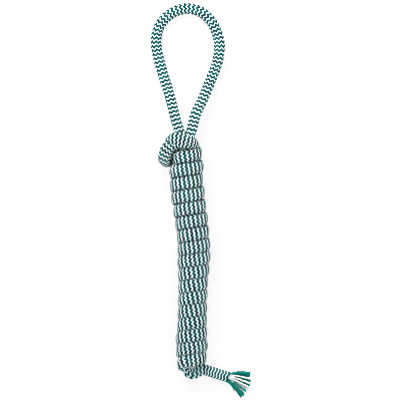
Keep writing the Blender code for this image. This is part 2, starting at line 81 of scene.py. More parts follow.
# painted shade: the white that the yarns darken to in the grooves between them
WHITE_IN_PAINTED_SHADE = "9FC2C8"
LOOSE_TEAL_SHARE = 0.50
PRESSED_TEAL_SHARE = 0.56
# painted shade in the seams where turns touch: how many lanes wide, and the light left at the seam
SEAM_LANES = 2.0
SEAM_LIGHT = 0.3
SEAM_HAIR = 0.01
YARN_GROOVE = 0.30
STITCH_GROOVE = 0.22
STITCH_GROOVE_LIGHT = 0.35
FIBRE_STRETCH = (1.1, 7.0, 1.0)
FIBRE_SCALE = 1.6
FIBRE_CONTRAST = 0.5
FIBRE_HEIGHT = 0.0003
FRAY = 0.22


def linear(hex_colour):
    """The linear RGBA of an sRGB hex colour: a straight line near black, then a power of 2.4."""
    channels = [int(hex_colour[i : i + 2], 16) / 255 for i in (0, 2, 4)]
    return [c / 12.92 if c <= 0.04045 else ((c + 0.055) / 1.055) ** 2.4 for c in channels] + [1.0]


def add_node(tree, kind, links=None, **settings):
    """Adds a node with its settings; links gives inputs, by name or number, a value or another's output."""
    node = tree.nodes.new(kind)
    for name, value in settings.items():
        setattr(node, name, value)
    for key, source in (links or {}).items():
        socket = node.inputs[key]
        if isinstance(source, bpy.types.NodeSocket):
            tree.links.new(source, socket)
        else:
            socket.default_value = source
    return node


def new_material(name):
    """A new material and its empty node tree."""
    material = bpy.data.materials.new(name)
    material.use_nodes = True
    material.node_tree.nodes.clear()
    return material, material.node_tree


def placed(name, data):
    """A new object in the scene."""
    item = bpy.data.objects.new(name, data)
    bpy.context.scene.collection.objects.link(item)
    return item


def braided_yarn_material(name, teal_share, teals, seam_lanes=0.0):
    """Textured polyester yarn, braided: matt, with fibres that run along each stitch, no two quite alike.

    The map called braid gives the lane across and the yarn along, so whole numbers are the grooves. Where
    turns touch, at the rope's two sides, shade is painted into the yarns as a dark seam, so many lanes wide;
    0 leaves it out.
    A yarn's fibres are too fine to show, so they are drawn about 0.2 mm wide and 1.5 mm long.
    """
    material, tree = new_material(name)
    place = add_node(tree, "ShaderNodeUVMap", uv_map="braid").outputs["UV"]
    parts = add_node(tree, "ShaderNodeSeparateXYZ", {0: place})
    lane, yarn = parts.outputs["X"], parts.outputs["Y"]

    # the fibres, and which yarns are white, with an edge that the fibres fray
    stretch = add_node(tree, "ShaderNodeVectorMath", {0: place, 1: FIBRE_STRETCH}, operation="MULTIPLY")
    fibres = add_node(
        tree, "ShaderNodeTexNoise", {"Vector": stretch.outputs[0], "Scale": FIBRE_SCALE, "Detail": 3.0}
    ).outputs["Fac"]
    fray = add_node(tree, "ShaderNodeMath", {0: fibres, 1: FRAY, 2: -FRAY / 2}, operation="MULTIPLY_ADD")
    frayed = add_node(tree, "ShaderNodeMath", {0: yarn, 1: fray.outputs[0]}, operation="ADD")
    pair = add_node(tree, "ShaderNodeMath", {0: frayed.outputs[0], 1: 2.0}, operation="FLOORED_MODULO")
    white = add_node(
        tree, "ShaderNodeMath", {0: pair.outputs[0], 1: 2 * teal_share}, operation="GREATER_THAN"
    )

    # how much light each place gets: less at a stitch's sides and ends, and in the seam
    across = add_node(tree, "ShaderNodeMath", {0: yarn, 1: 0.5}, operation="PINGPONG")
    along = add_node(tree, "ShaderNodeMath", {0: lane, 1: 0.5}, operation="PINGPONG")
    from_side = add_node(tree, "ShaderNodeMath", {0: lane, 1: PRESSED_LANES / 4}, operation="PINGPONG")
    side = add_node(
        tree, "ShaderNodeMapRange", {0: across.outputs[0], 2: YARN_GROOVE}, interpolation_type="SMOOTHSTEP"
    )
    end = add_node(
        tree, "ShaderNodeMapRange", {0: along.outputs[0], 2: STITCH_GROOVE, 3: STITCH_GROOVE_LIGHT},
        interpolation_type="SMOOTHSTEP"
    )
    # painted shade where turns touch: 0 at the rope's two sides, rising to 1 so many lanes in
    # the hair keeps the seam's rise wider than nothing where the seam is left out
    seam_shade_mask = add_node(
        tree, "ShaderNodeMapRange", {0: from_side.outputs[0], 1: -SEAM_HAIR, 2: seam_lanes},
        interpolation_type="SMOOTHSTEP"
    )
    top = add_node(tree, "ShaderNodeMath", {0: side.outputs[0], 1: end.outputs[0]}, operation="MULTIPLY")
    lit = add_node(tree, "ShaderNodeMath", {0: top.outputs[0], 1: seam_shade_mask.outputs[0]}, operation="MULTIPLY")

    # the colour: each stitch has its own teal, and both colours darken to painted shade in the grooves
    stitch = add_node(tree, "ShaderNodeVectorMath", {0: place}, operation="FLOOR")
    tone = add_node(tree, "ShaderNodeTexWhiteNoise", {"Vector": stitch.outputs[0]}, noise_dimensions="2D")
    stitch_teal = add_node(
        tree, "ShaderNodeMix", {0: tone.outputs["Value"], 6: linear(teals[0]), 7: linear(teals[1])},
        data_type="RGBA"
    )
    teal = add_node(
        tree, "ShaderNodeMix", {0: lit.outputs[0], 6: linear(TEAL_IN_PAINTED_SHADE), 7: stitch_teal.outputs[2]},
        data_type="RGBA"
    )
    pale = add_node(
        tree, "ShaderNodeMix", {0: lit.outputs[0], 6: linear(WHITE_IN_PAINTED_SHADE), 7: linear(WHITE)}, data_type="RGBA"
    )
    colour = add_node(
        tree, "ShaderNodeMix", {0: white.outputs[0], 6: teal.outputs[2], 7: pale.outputs[2]},
        data_type="RGBA"
    )
    shade = add_node(
        tree, "ShaderNodeMath", {0: fibres, 1: FIBRE_CONTRAST, 2: 1 - FIBRE_CONTRAST / 2},
        operation="MULTIPLY_ADD"
    )
    # painted shade: in the seam both colours are darkened again, down to SEAM_LIGHT of their tone
    seam_shade_dimming = add_node(
        tree, "ShaderNodeMath", {0: seam_shade_mask.outputs[0], 1: 1 - SEAM_LIGHT, 2: SEAM_LIGHT},
        operation="MULTIPLY_ADD"
    )
    dimmed = add_node(tree, "ShaderNodeMath", {0: shade.outputs[0], 1: seam_shade_dimming.outputs[0]}, operation="MULTIPLY")
    toned = add_node(
        tree, "ShaderNodeVectorMath", {0: colour.outputs[2], 3: dimmed.outputs[0]}, operation="SCALE"
    )
    relief = add_node(tree, "ShaderNodeBump", {"Strength": 0.5, "Distance": FIBRE_HEIGHT, "Height": fibres})
    shader = add_node(tree, "ShaderNodeBsdfPrincipled", {
        "Base Color": toned.outputs[0], "Roughness": 0.85, "Specular IOR Level": 0.1,
        "Normal": relief.outputs[0],
    })
    add_node(tree, "ShaderNodeOutputMaterial", {"Surface": shader.outputs[0]})
    return material


loose_braid = braided_yarn_material("braided_polyester_yarn", LOOSE_TEAL_SHARE, TEALS)
# the pressed copy: more teal stitches, and its teal darker as painted shade
shaded_pressed_braid = braided_yarn_material("pressed_polyester_yarn_shaded", PRESSED_TEAL_SHARE, PRESSED_SHADED_TEALS)
# the winding's copy, with painted shade in the seams where its turns touch
seam_shaded_braid = braided_yarn_material("wound_polyester_yarn_seam_shaded", PRESSED_TEAL_SHARE, PRESSED_SHADED_TEALS, SEAM_LANES)


def unit(vectors):
    """Directions of length 1: each vector divided by its length."""
    return vectors / np.linalg.norm(vectors, axis=-1, keepdims=True)


def spread_over(values, count):
    """The given rows, spread evenly over count rows, with straight lines between them."""
    values = np.array(values, float)
    places = np.linspace(0, len(values) - 1, count)
    return np.stack([np.interp(places, range(len(values)), column) for column in values.T], axis=1)


ROUTE_STEPS = 40


def smooth_route(points, count):
    """Evenly spaced points on a smooth curve: cubics that leave each point with the slope between its
    neighbours, measured in fine steps."""
    points = np.array(points, float)
    steps = np.linalg.norm(np.diff(points, axis=0), axis=1)
    knots = np.concatenate([[0], np.cumsum(steps)])
    slopes = np.gradient(points, knots, axis=0)
    fine = np.linspace(0, knots[-1], ROUTE_STEPS * len(points))
    index = np.clip(np.searchsorted(knots, fine, side="right") - 1, 0, len(steps) - 1)
    span = steps[index][:, None]
    t = ((fine - knots[index]) / steps[index])[:, None]
    curve = (
        (2 * t**3 - 3 * t**2 + 1) * points[index]
        + (t**3 - 2 * t**2 + t) * span * slopes[index]
        + (3 * t**2 - 2 * t**3) * points[index + 1]
        + (t**3 - t**2) * span * slopes[index + 1]
    )
    run = run_along(curve)
    wanted = np.linspace(0, run[-1], count)
    return np.stack([np.interp(wanted, run, column) for column in curve.T], axis=1)


def run_along(points):
    """The length along a line of points, up to each of them: the sum of the steps before it."""
    return np.concatenate([[0], np.cumsum(np.linalg.norm(np.diff(points, axis=0), axis=1))])


def laid(route, across, half_width, half_thickness, core_share=0.0, easing=0):
    """A stretch of rope: for each point of its route where it is, which way its width and its thickness run,
    half its width and thickness, and how far it is pressed to the half round of a core strand. The width is
    square to the rope's heading, and the thickness to both. Easing averages the heading with its neighbours'
    so many times, which spreads a tight bend along the rope, so that its sections don't cross."""
    count = len(route)
    heading = unit(np.gradient(route, axis=0))
    for _ in range(easing):
        heading[1:-1] = unit(heading[:-2] + 2 * heading[1:-1] + heading[2:])
    across = spread_over(across, count)
    across = unit(across - (across * heading).sum(axis=1, keepdims=True) * heading)
    outward = np.cross(heading, across)
    sizes = [np.broadcast_to(value, count) for value in (half_width, half_thickness, core_share)]
    return np.column_stack([route, across, outward, *sizes])


def rope_outline(angle, power):
    """How far out the rope's outline lies at each angle, in half sizes: a superellipse, which is the sum of
    the cosine's and the sine's powers, to the power of minus one over that power."""
    return (abs(np.cos(angle)) ** power + abs(np.sin(angle)) ** power) ** (-1 / power)


OUTLINE_STEPS = 720


def pressed_angles(shares):
    """The angles that part a pressed rope's outline by length, for shares of the way round it."""
    angle = np.linspace(0, 2 * math.pi, OUTLINE_STEPS + 1)
    outline = rope_outline(angle, PRESSED_SQUARENESS) * (PRESSED_RATIO * np.cos(angle), np.sin(angle))
    run = run_along(outline.T)
    return np.interp(shares * run[-1], run, angle)


def pressed_share(half_width, half_thickness):
    """How far the rope is pressed flat, by its width over its thickness: 0 if round, 1 as in the winding."""
    return np.clip((half_width / half_thickness - 1) / (PRESSED_RATIO - 1), 0, 1)


def section(angle, half_width, half_thickness, core_share):
    """Places on the rope's outline, width and thickness apart. A round or pressed rope is a superellipse
    whose power rises as it is pressed. A core strand is half of the round core: the nearer of the core's
    outline and the plane that parts the strands."""
    squaring = (PRESSED_SQUARENESS - SOFT_SQUARENESS) * pressed_share(half_width, half_thickness)
    bulge = rope_outline(angle, SOFT_SQUARENESS + squaring)
    cosine, sine = np.cos(angle), np.sin(angle)
    wide, thick = half_width * bulge * cosine, half_thickness * bulge * sine
    offset = CORE_RADIUS / 2
    arc = offset * sine + np.sqrt(CORE_RADIUS**2 - (offset * cosine) ** 2)
    # the smallest sine keeps the plane's distance finite where the angle runs along the plane
    flat = (offset - TOUCH_GAP / 2) / np.maximum(sine, SMALLEST_SINE)
    half_round = np.minimum(arc, flat)
    return (
        wide + core_share * (half_round * cosine - wide),
        thick + core_share * (half_round * sine - thick),
    )


CENTRE, ACROSS, OUTWARD, SIZES = slice(0, 3), slice(3, 6), slice(6, 9), slice(9, 12)


def braided(name, stretch, shares, rows, first=0, spacing=YARN_SPACING, lanes=LANES, material=loose_braid):
    """The braid over a stretch of rope, as a grid of shares of the way round it and rows along. Each row
    follows the yarns' zigzag: its place along, in yarns, is the row's own plus a triangle wave of the lane.
    A stitch stands proud by the product of two arches, one across the yarn and one along it from where it
    comes up to where it dives. Spacing and lanes may be given for each point of the rope."""
    spacing, lanes = (np.broadcast_to(value, len(stretch)) for value in (spacing, lanes))
    steps = np.linalg.norm(np.diff(stretch[:, CENTRE], axis=0), axis=1)
    passed = np.concatenate([[0], np.cumsum(2 * steps / (spacing[1:] + spacing[:-1]))])
    yarns = round(passed[-1])
    before, after = stretch[0].copy(), stretch[-1].copy()
    before[CENTRE] -= spacing[0] * np.cross(before[ACROSS], before[OUTWARD])
    after[CENTRE] += spacing[-1] * np.cross(after[ACROSS], after[OUTWARD])
    stations = np.vstack([before, stretch, after])
    places = np.concatenate([[-1], passed / passed[-1] * yarns, [yarns + 1]])
    row = np.arange(yarns * rows + 1)[:, None] / rows
    way_round = np.append(shares, 1.0)[None, :]
    lane = way_round * np.interp(row, places[1:-1], lanes)
    place = row + abs(lane[:, :-1] % 2 - 1) - 0.5
    values = [np.interp(place, places, column)[..., None] for column in stations.T]
    centre, across, outward = (np.concatenate(values[part], axis=2) for part in (CENTRE, ACROSS, OUTWARD))
    half_width, half_thickness, core_share = (value[..., 0] for value in values[SIZES])
    pressed = pressed_share(half_width, half_thickness)
    angle = (1 - pressed) * 2 * math.pi * way_round[:, :-1] + pressed * pressed_angles(way_round[:, :-1])
    arch = np.maximum(np.sin(math.pi * (lane[:, :-1] % 1)), 0)
    rise = np.sin(math.pi * (row % 1)) ** STITCH_CROWN * arch**LANE_CROWN
    height = STITCH_HEIGHT * (rise - 0.5)
    wide, thick = section(angle, half_width, half_thickness, core_share)
    reach = np.sqrt(wide**2 + thick**2)
    grow = (1 + height / reach)[..., None]
    points = centre + grow * (wide[..., None] * across + thick[..., None] * outward)
    points[..., 2] = np.maximum(points[..., 2], 0.0)
    return rope_skin(name, points, lane, row[:, 0] + first, material), yarns


def rope_skin(name, points, lanes, row, material):
    """The rope's skin, with its braid map: a grid of points that closes round each row, and a fan of faces
    at each end. The ends, which the neighbours hide, take the colour of a stitch's middle."""
    count, sides = points.shape[:2]
    corner = np.arange(count * sides).reshape(count, sides)
    following = np.roll(corner, -1, axis=1)
    quads = np.stack([corner[:-1], following[:-1], following[1:], corner[1:]], axis=-1).reshape(-1, 4)
    caps = [points[0].mean(axis=0), points[-1].mean(axis=0)]
    vertices = np.vstack([points.reshape(-1, 3), caps])
    foot = np.stack([np.full(sides, count * sides), following[0], corner[0]], axis=-1)
    top = np.stack([np.full(sides, count * sides + 1), corner[-1], following[-1]], axis=-1)
    mesh = bpy.data.meshes.new(name)
    mesh.from_pydata(vertices.tolist(), [], quads.tolist() + foot.tolist() + top.tolist())
    left, right = lanes[:, :-1], lanes[:, 1:]
    rows = np.broadcast_to(row[:, None], left.shape)
    wall = np.stack([
        np.stack([left[:-1], rows[:-1]], axis=-1), np.stack([right[:-1], rows[:-1]], axis=-1),
        np.stack([right[1:], rows[1:]], axis=-1), np.stack([left[1:], rows[1:]], axis=-1),
    ], axis=2)
    ends = np.full((2 * sides * 3, 2), 0.5)
    uv = mesh.uv_layers.new(name="braid")
    uv.data.foreach_set("uv", np.vstack([wall.reshape(-1, 2), ends]).astype(np.float32).ravel())
    mesh.materials.append(material)
    mesh.shade_smooth()
    return placed(name, mesh)


def all_round(steps, lanes=LANES):
    """Shares of the way round the whole rope, with so many steps to a lane."""
    return np.arange(lanes * steps) / (lanes * steps)


# Core strands: the two legs of the hand loop, pressed side by side into half rounds by the winding over them.
# They turn round again where they leave the hitch. One end goes down into the winding, one into the tail.
CORE_RADIUS = 0.0075
TOUCH_GAP = 0.0003
SMALLEST_SINE = 0.01
CORE_OVERHANG = 0.0014
PRESSED_THICKNESS = 0.0092
CORE_CLEARANCE = 0.0005
FLOOR_CUT = 0.0012
HALF_GRIP = 0.1176
BOW_MIDDLE = 0.0005
BOW_TOP = 0.0095
BOW_TOP_LENGTH = 0.0940
BOW_FOOT = 0.0037
BOW_FOOT_POWER = 0.8
LEG_END_Y = 0.1395
LEG_SPREAD = 0.0141
LEG_SIDESTEP = 0.0010
ROUNDING_POWER = 1.5
TURN_RADIUS = CORE_RADIUS + CORE_CLEARANCE + PRESSED_THICKNESS / 2
AXIS_Z = TURN_RADIUS + PRESSED_THICKNESS / 2 - FLOOR_CUT
LEG_START_Y = HALF_GRIP + CORE_OVERHANG
CORE_STATIONS = 400
LEG_HEADINGS = {-1: (-0.291, 0.953), 1: (0.239, 0.968)}
Z_AXIS = (0.0, 0.0, 1.0)


def axis_x(y):
    """How far the grip's bowed axis stands to the side at y: an S-curve of a cubic above the middle, and
    below it a lean that grows by a power of the way down."""
    rise = np.clip(np.asarray(y) / BOW_TOP_LENGTH, 0, 1)
    fall = np.maximum(-np.asarray(y) / HALF_GRIP, 0)
    top = (BOW_TOP - BOW_MIDDLE) * rise**2 * (3 - 2 * rise)
    return -BOW_MIDDLE - top - (BOW_FOOT - BOW_MIDDLE) * fall**BOW_FOOT_POWER


def leg_centre(side):
    """Where a leg leaves the hitch, round again: half the legs' spread to its side of the axis."""
    return np.array((axis_x(HALF_GRIP) - LEG_SIDESTEP + side * LEG_SPREAD / 2, LEG_END_Y, AXIS_Z))


def core_strand(side):
    """A leg's route up through the grip, and how far it is a core strand at each point: beside the bowed
    axis, then over to the loop by a parabola that ends in the loop's heading."""
    y = np.linspace(-HALF_GRIP - CORE_OVERHANG, LEG_END_Y, CORE_STATIONS)
    share = np.clip((y - LEG_START_Y) / (LEG_END_Y - LEG_START_Y), 0, 1)
    rounded = share**ROUNDING_POWER
    lag = (LEG_END_Y - LEG_START_Y) * LEG_HEADINGS[side][0] / LEG_HEADINGS[side][1]
    start = axis_x(np.minimum(y, LEG_START_Y))
    x = start * (1 - share) + leg_centre(side)[0] * share - share * (1 - share) * lag
    route = np.stack([x + side * CORE_RADIUS / 2 * (1 - rounded), y, np.full_like(y, AXIS_Z)], axis=1)
    return route, 1 - rounded


route, core_share = core_strand(-1)
strand, yarns = braided(
    "core_strand_left",
    laid(route, [Z_AXIS, Z_AXIS], ROPE_DIAMETER / 2, ROPE_DIAMETER / 2, core_share),
    all_round(HIDDEN_LANE_STEPS), PRESSED_YARN_ROWS
)
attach(strand, "grip")
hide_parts("core_strand_left")
loop_first = yarns


# Hand loop: the middle of the rope, left round and full where it stands free for a hand or a dog's mouth.
# It leaves the hitch as two legs, slopes down to the floor and closes in a round crown.
LOOP_LENGTH = 0.1404
LOOP_WIDTH = 0.0726
LOOP_LEAN = 0.0022
SLOPE_LENGTH = 0.0800
LOOP_STATIONS = 600
LOOP_LEFT_SHARES = (
    (-0.405, 0.127), (-0.52, 0.250), (-0.71, 0.415), (-0.90, 0.580),
    (-0.985, 0.745), (-0.93, 0.826), (-0.745, 0.908), (-0.40, 0.975),
)
LOOP_CROWN_SHARE = (-0.01, 1.0)
LOOP_RIGHT_SHARES = (
    (0.39, 0.977), (0.72, 0.908), (0.90, 0.826), (1.00, 0.745),
    (0.97, 0.580), (0.74, 0.415), (0.475, 0.250), (0.255, 0.127),
)
ROPE_REST_Z = ROPE_DIAMETER / 2 - FLOOR_CUT


def loop_route():
    """The loop's centre line from the left leg round to the right, down to the floor by a cubic S-curve."""
    middle = leg_centre(-1)[0] / 2 + leg_centre(1)[0] / 2 + LOOP_LEAN
    across, along = np.array([*LOOP_LEFT_SHARES, LOOP_CROWN_SHARE, *LOOP_RIGHT_SHARES]).T
    fall = np.clip(along * LOOP_LENGTH / SLOPE_LENGTH, 0, 1)
    z = AXIS_Z + (ROPE_REST_Z - AXIS_Z) * fall**2 * (3 - 2 * fall)
    points = np.stack([middle + across * LOOP_WIDTH / 2, LEG_END_Y + along * LOOP_LENGTH, z], axis=1)
    return smooth_route([leg_centre(-1), *points, leg_centre(1)], LOOP_STATIONS)


route = loop_route()
loop, yarns = braided(
    "hand_loop_rope",
    laid(route, [Z_AXIS, Z_AXIS], ROPE_DIAMETER / 2, ROPE_DIAMETER / 2),
    all_round(LANE_STEPS), YARN_ROWS, loop_first
)
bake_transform(loop)
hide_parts("neck_left", "hand_loop", "neck_right")
right_first = loop_first + yarns

route, core_share = core_strand(1)
strand = braided(
    "core_strand_right",
    laid(route[::-1], [Z_AXIS, Z_AXIS], ROPE_DIAMETER / 2, ROPE_DIAMETER / 2, core_share[::-1]),
    all_round(HIDDEN_LANE_STEPS), PRESSED_YARN_ROWS, right_first
)[0]
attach(strand, "grip")
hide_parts("core_strand_right")


# Foot bight: where the left strand comes out of the grip's foot, turns up over it and lies down as the first
# turn, pressed flat as it goes. It leads into the winding, so the winding's sizes and line stand here too.
POINTS_PER_TURN = 96
PRESSED_WIDTH = 0.0143
TURNS = 16
PITCH = 0.0147
START_TURN = -0.5
START_RUN = 0.0035
END_RUN = 0.0120
RUN_RISE_SHARE = 0.185
LEAD = 0.0025
FOOT_LEAD = 0.0012
FOOT_ROUTE_SHARES = ((-0.45, -0.80, 0.02), (-0.76, -1.10, 0.22), (-0.98, -1.00, 0.58), (-0.78, -0.78, 0.93))
FOOT_WIDTH_DIRECTIONS = ((0.0, 0.0, 1.0), (0.1, 0.5, 0.8), (0.0, 1.0, 0.3), (0.0, 1.0, 0.0))
BEND_POINTS = 120
BEND_EASING = 900
PRESSED_YARN_SPACING = 0.00214
WOUND_LANE_STEPS = 3
RUN_STATIONS = 8
TURN_SAG = 0.0018
SWELL = 0.0027
TURN_SWELL_SHARES = (0.2, 0.7, 0.1, 0.0, 0.0, 0.0, 0.1, 0.6, 0.75, 0.7, 0.75, 0.85, 0.95, 1.0, 0.7)
TOP_SWELL_TURNS = (14.75, 15.05, 15.25, 15.5, 15.75, 16.0)
TOP_SWELL_SHARES = (1.05, 0.3, -0.8, 0.0, 0.35, 0.0)


def turns(first_turn, last_turn, start_run=0.0, end_run=0.0):
    """The turns' centre line: a circle round the bowed axis that climbs one pitch a turn, straight at its
    ends. Each turn swells to the sides by its own share, and the middle ones have slid down a little. The
    top turn bulges at the right and is drawn in at the left, under the tuck bight."""
    turn = np.linspace(first_turn, last_turn, round((last_turn - first_turn) * POINTS_PER_TURN) + 1)
    y = (turn - TURNS / 2) * PITCH
    angle = 2 * math.pi * turn
    swell_turns = [*range(len(TURN_SWELL_SHARES)), *TOP_SWELL_TURNS]
    swell = SWELL * np.interp(turn, swell_turns, [*TURN_SWELL_SHARES, *TOP_SWELL_SHARES])
    side = -(TURN_RADIUS + swell) * np.sin(angle)
    line = np.stack([axis_x(y) + side, y, AXIS_Z - TURN_RADIUS * np.cos(angle)], axis=1)
    line[:, 1] -= TURN_SAG * np.clip(1 - (2 * turn / TURNS - 1) ** 2, 0, 1)
    heading = unit(np.array((1.0, RUN_RISE_SHARE, 0.0)))
    shares = np.linspace(0, 1, RUN_STATIONS)[:, None]
    if start_run:
        line = np.vstack([line[0] - start_run * heading * (1 - shares[:-1]), line])
    if end_run:
        # at the back, where the last turn ends, the rope crosses the other way
        line = np.vstack([line, line[-1] + end_run * heading * (-1, 1, 1) * shares[1:]])
    return line


def from_datum(shares, datum):
    """Places given in rope diameters from a datum."""
    return [np.array(datum) + ROPE_DIAMETER * np.array(share) for share in shares]


def seen_half():
    """Shares of the way round the winding's rope: fine on its outer half, one to a lane on the inner."""
    outer = all_round(WOUND_LANE_STEPS, PRESSED_LANES)
    inner = all_round(1, PRESSED_LANES)
    return np.concatenate([outer[outer < 0.5], inner[inner >= 0.5]])


def pressed_rope(name, stretch, first, spacing):
    """The braid over a pressed stretch of rope outside the winding."""
    shares = all_round(PRESSED_LANE_STEPS, PRESSED_LANES)
    return braided(name, stretch, shares, PRESSED_YARN_ROWS, first, spacing, PRESSED_LANES, shaded_pressed_braid)


foot_datum = (float(axis_x(-HALF_GRIP)), -HALF_GRIP, AXIS_Z)
left_end = np.array((foot_datum[0] - CORE_RADIUS / 2, -HALF_GRIP - CORE_OVERHANG, AXIS_Z))
winding_line = turns(START_TURN, TURNS, START_RUN, END_RUN)
heading = unit(winding_line[1] - winding_line[0])
down = np.array((0.0, -1.0, 0.0))
route = smooth_route(
    [
        left_end, left_end + LEAD * down, *from_datum(FOOT_ROUTE_SHARES, foot_datum),
        winding_line[0] - FOOT_LEAD * heading, winding_line[0],
    ],
    BEND_POINTS
)
foot, foot_yarns = pressed_rope(
    "foot_bight_rope",
    laid(
        route, FOOT_WIDTH_DIRECTIONS, np.linspace(ROPE_DIAMETER, PRESSED_WIDTH, BEND_POINTS) / 2,
        np.linspace(CORE_RADIUS, PRESSED_THICKNESS, BEND_POINTS) / 2, easing=BEND_EASING
    ),
    0, PRESSED_YARN_SPACING
)
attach(foot, "grip")
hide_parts("foot_bight")


# Grip winding: sixteen turns round the core, laid side by side and hauled tight, so the rope is pressed flat
# and its stitches close up. The grip is bowed a little, as the winding has pulled it.
# Its yarn material paints shade into the seams where the turns touch.
winding, winding_yarns = braided(
    "grip_winding_rope",
    laid(winding_line, [(0, 1, 0), (0, 1, 0)], PRESSED_WIDTH / 2, PRESSED_THICKNESS / 2),
    seen_half(), PRESSED_YARN_ROWS, foot_yarns, PRESSED_YARN_SPACING, PRESSED_LANES, seam_shaded_braid
)
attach(winding, "grip")
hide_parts("grip_winding")


# Tuck bight: from the back of the last turn the rope turns down round the grip's left side and comes up again
# in front. It goes on under the hitch, which holds it and hides its end.
TUCK_YARN_SPACING = 0.0021
TUCK_ROUTE_SHARES = (
    (-1.44, -0.05, -1.02), (-1.50, -0.52, -0.98), (-1.66, -0.98, -0.84), (-1.98, -1.14, -0.48),
    (-2.14, -1.12, -0.07), (-2.13, -0.91, 0.33), (-2.06, -0.50, 0.56), (-1.92, -0.04, 0.67),
    (-1.66, 0.32, 0.74), (-1.38, 0.50, 0.72), (-1.06, 0.64, 0.56), (-0.72, 0.78, 0.36),
)
TUCK_WIDTH_DIRECTIONS = (
    (0.18, 1.0, 0.0), (-0.55, 0.8, 0.0), (-0.77, 0.64, 0.0), (-0.72, 0.70, 0.0), (-0.6, 0.8, 0.0),
)
hitch_datum = (float(axis_x(HALF_GRIP)), HALF_GRIP, AXIS_Z)
heading = unit(winding_line[-1] - winding_line[-2])
route = smooth_route(
    [winding_line[-1], winding_line[-1] + LEAD * heading, *from_datum(TUCK_ROUTE_SHARES, hitch_datum)],
    BEND_POINTS
)
tuck = pressed_rope(
    "tuck_bight_rope",
    laid(route, TUCK_WIDTH_DIRECTIONS, PRESSED_WIDTH / 2, PRESSED_THICKNESS / 2, easing=BEND_EASING),
    foot_yarns + winding_yarns, TUCK_YARN_SPACING
)[0]
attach(tuck, "grip")
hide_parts("tuck_bight")


# Hitch turn: the rope's last turn, from the right at the back round both legs, over the front and tucked in
# at the right behind the top turn. It starts inside the top turn, and over the front it spreads like a leaf.
HITCH_YARN_SPACING = 0.0019
HITCH_ROUTE_SHARES = (
    (0.52, 0.20, -0.45), (0.66, 0.56, -0.70), (0.50, 1.00, -0.90), (0.00, 1.22, -0.95),
    (-0.71, 1.16, -0.95), (-1.32, 0.98, -0.80), (-1.62, 0.85, -0.36), (-1.70, 0.82, 0.14),
    (-1.55, 0.92, 0.66), (-1.20, 1.04, 1.01), (-0.62, 0.98, 1.13), (0.05, 0.76, 1.11),
    (0.54, 0.62, 0.91), (0.80, 0.52, 0.54), (0.92, 0.45, 0.08),
)
HITCH_WIDTHS = (0.0105, 0.0115, 0.0135, 0.0110, 0.0075, 0.0135, 0.0180, 0.0120, 0.0095)
HITCH_WIDTH_DIRECTIONS = (
    (-0.9, 0.4, 0.0), (0.0, 1.0, 0.0), (0.0, 1.0, 0.0), (0.12, 1.0, 0.0), (0.35, 1.0, 0.0),
)
route = smooth_route(from_datum(HITCH_ROUTE_SHARES, hitch_datum), BEND_POINTS)
widths = spread_over([[width] for width in HITCH_WIDTHS], BEND_POINTS)[:, 0]
hitch = pressed_rope(
    "hitch_turn_rope",
    laid(route, HITCH_WIDTH_DIRECTIONS, widths / 2, PRESSED_THICKNESS / 2, easing=BEND_EASING // 4),
    0, HITCH_YARN_SPACING
)[0]
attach(hitch, "grip")
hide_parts("hitch_turn")


# Tail: the right strand's own end, which comes out of the grip's foot, curls round under the foot bight and
# runs straight to the tassel. Here the rope is round again and lies on the table.
TAIL_ANGLE = math.radians(-17.8)
TAIL_NECK_LENGTH = 0.0090
SHEATH_LENGTH = 0.0173
CURL_ROUTE_SHARES = (
    (0.10, -0.58, -0.30), (-0.20, -0.95, -0.60), (-0.36, -1.36, -0.72), (-0.20, -1.73, -0.75),
    (0.22, -1.81, -0.75), (0.76, -1.58, -0.80),
)
CURL_END_SHARE = (1.41, -1.53)
CURL_SWELL = 0.0011
CURL_SWELL_RUN = 0.0300
CURL_SWELL_REACH = 0.0120
CURL_ROUNDING_RUNS = (0.0120, 0.0300)
TAIL_LANES = 10
TAIL_YARN_SPACING = 0.00178
TAIL_LANES_BEFORE = 0.0020
right_end = np.array((foot_datum[0] + CORE_RADIUS / 2, -HALF_GRIP - CORE_OVERHANG, AXIS_Z))
along = np.array((math.cos(TAIL_ANGLE), math.sin(TAIL_ANGLE), 0.0))
aside = np.array((-along[1], along[0], 0.0))
tail_start = np.array((*(np.array(foot_datum[:2]) + ROPE_DIAMETER * np.array(CURL_END_SHARE)), ROPE_REST_Z))
neck_end = tail_start + (TOUCH_GAP + TAIL_NECK_LENGTH) * along
sheath_end = neck_end + (TOUCH_GAP + SHEATH_LENGTH) * along
route = smooth_route(
    [
        right_end, right_end + LEAD * down, *from_datum(CURL_ROUTE_SHARES, foot_datum),
        tail_start - LEAD * along, tail_start, neck_end, sheath_end,
    ],
    2 * BEND_POINTS
)
run = run_along(route)
straight = run > run[np.argmin(np.linalg.norm(route - tail_start, axis=1))] - TAIL_LANES_BEFORE
thickness = np.interp(run, CURL_ROUNDING_RUNS, [CORE_RADIUS, ROPE_DIAMETER])
swell = CURL_SWELL * np.exp(-((run - CURL_SWELL_RUN) / CURL_SWELL_REACH) ** 2)
half_thickness = thickness / 2 + swell
tail = braided(
    "tail_rope",
    laid(route[::-1], [Z_AXIS, Z_AXIS], ROPE_DIAMETER / 2, half_thickness[::-1], easing=BEND_EASING),
    all_round(LANE_STEPS), YARN_ROWS, 0, np.where(straight, TAIL_YARN_SPACING, YARN_SPACING)[::-1],
    np.where(straight, TAIL_LANES, LANES)[::-1]
)[0]
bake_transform(tail)
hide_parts("tail_curl", "tail_bend", "tail_sheath")


